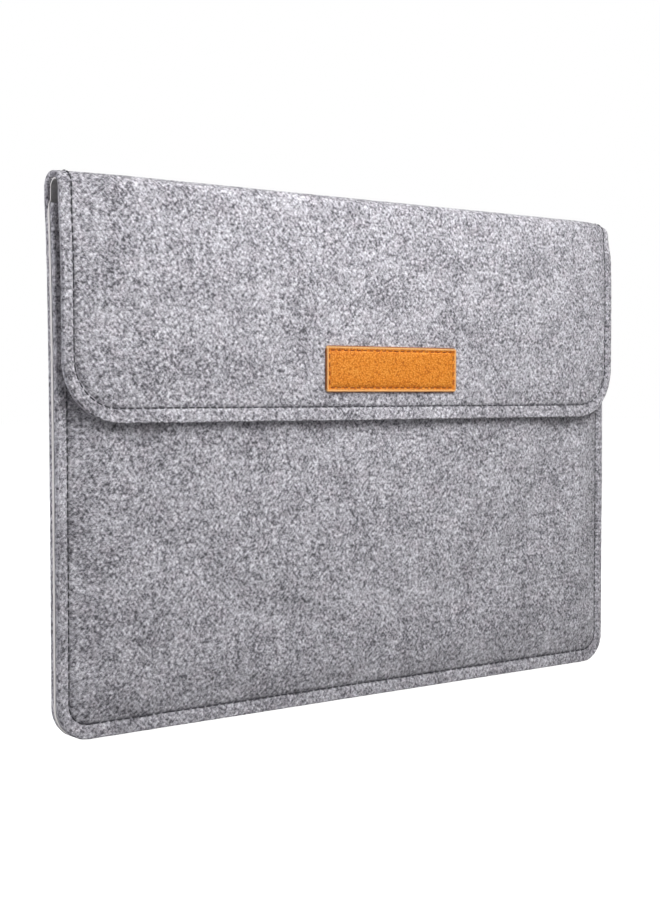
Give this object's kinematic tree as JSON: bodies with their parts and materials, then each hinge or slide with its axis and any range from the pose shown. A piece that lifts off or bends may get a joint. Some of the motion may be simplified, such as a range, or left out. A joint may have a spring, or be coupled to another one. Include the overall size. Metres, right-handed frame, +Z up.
{
  "type": "laptop sleeve",
  "caption": "Flat grey felt laptop sleeve with a soft lining, a fold-over flap held by hook-and-loop tape, and a blank leather label.",
  "frame": {"origin": "centre of the footprint at the bottom edge, midway between the front of the label and the back face", "axes": "+X along the width to the right as seen from the front, +Y towards the back, +Z up from the bottom edge to the fold"},
  "size_m": [0.351, 0.0268, 0.2528],
  "materials": {
    "felt": "heather grey felt, salt-and-pepper fibres, matte",
    "lining": "pale brushed fleece, short pile, matte",
    "thread": "twisted dark grey sewing thread",
    "label_thread": "twisted brown-orange sewing thread",
    "loop_tape": "soft loop pile on a woven backing",
    "hook_tape": "rows of small hooks on a woven backing",
    "leather": "tan pebbled leather, satin, lighter cut edges"
  },
  "bodies": {
    "pocket": {"back_panel": "felt", "front_panel": "felt", "back_lining": "lining", "front_lining": "lining", "seam_thread_front": "thread", "seam_thread_back": "thread", "mouth_thread": "thread", "loop_tape_left": "loop_tape", "loop_tape_right": "loop_tape", "loop_tape_thread": "thread"},
    "fold": {"fold_felt": "felt", "fold_lining": "lining", "fold_thread": "thread"},
    "flap": {"flap_felt": "felt", "flap_facing": "lining", "flap_thread": "thread", "label": "leather", "label_thread": "label_thread", "hook_tape_left": "hook_tape", "hook_tape_right": "hook_tape", "hook_tape_thread": "thread"}
  },
  "joints": [
    {"name": "rear_bend", "type": "hinge", "parent": "pocket", "child": "fold", "pos_m": [0, 0.00663, 0.2505], "axis": [-1, 0, 0], "range_deg": [0, 90]},
    {"name": "front_bend", "type": "hinge", "parent": "fold", "child": "flap", "pos_m": [0, -0.00837, 0.2505], "axis": [-1, 0, 0], "range_deg": [0, 90]}
  ],
  "couplings": [
    {"joint": "front_bend", "follows": "rear_bend", "ratio": 1}
  ]
}
